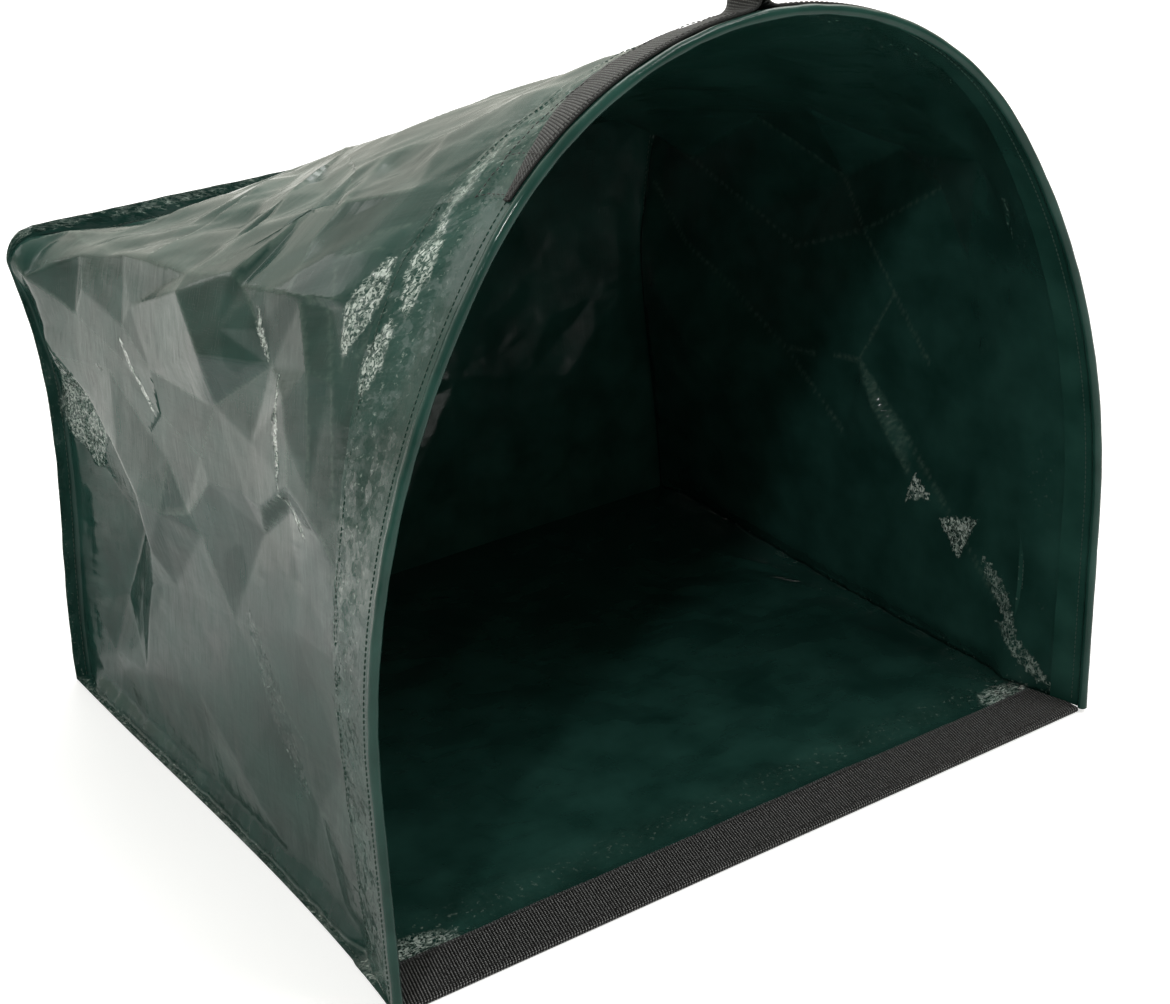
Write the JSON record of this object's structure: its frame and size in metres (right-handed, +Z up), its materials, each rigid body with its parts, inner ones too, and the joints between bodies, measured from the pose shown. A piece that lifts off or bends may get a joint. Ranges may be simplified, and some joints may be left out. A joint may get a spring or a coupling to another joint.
{
  "type": "rope storage bag",
  "caption": "Open-mouthed carry bag of coated woven sheet: a springy rod in the hem holds a D-shaped mouth over a flat webbing lip, with a webbing loop at the crown.",
  "frame": {"origin": "middle of the ground face, at z = 0, halfway between the mouth and the rear panel", "axes": "+Y from the mouth to the rear panel, +X to the right as the mouth is looked into, +Z up"},
  "size_m": [0.5566, 0.4934, 0.6447],
  "materials": {
    "woven_sheet": "glossy coated woven polyethylene, creased",
    "hem_sheet": "glossy coated woven polyethylene, folded and puckered",
    "webbing": "matt ribbed woven tape",
    "rod": "satin glass-fibre rod",
    "cap": "matt soft vinyl"
  },
  "bodies": {
    "body": {"wrap_panel": "woven_sheet", "floor_panel": "woven_sheet", "rear_panel": "woven_sheet"},
    "mouth": {"hem_band": "hem_sheet", "hoop_rod": "rod", "rod_end_caps": "cap", "lip_tape": "webbing", "handle_strap_left": "webbing", "handle_strap_right": "webbing"},
    "handle": {"handle_loop": "webbing"}
  },
  "joints": [
    {"name": "mouth_collapse", "type": "slide", "parent": "body", "child": "mouth", "axis": [0, 1, 0], "range_m": [0, 0.392], "deforming": ["wrap_panel", "floor_panel"]},
    {"name": "loop_flop", "type": "hinge", "parent": "mouth", "child": "handle", "pos_m": [0, -0.22517, 0.5299], "axis": [0, 0.9669, -0.255], "range_deg": [-65, 65]}
  ]
}
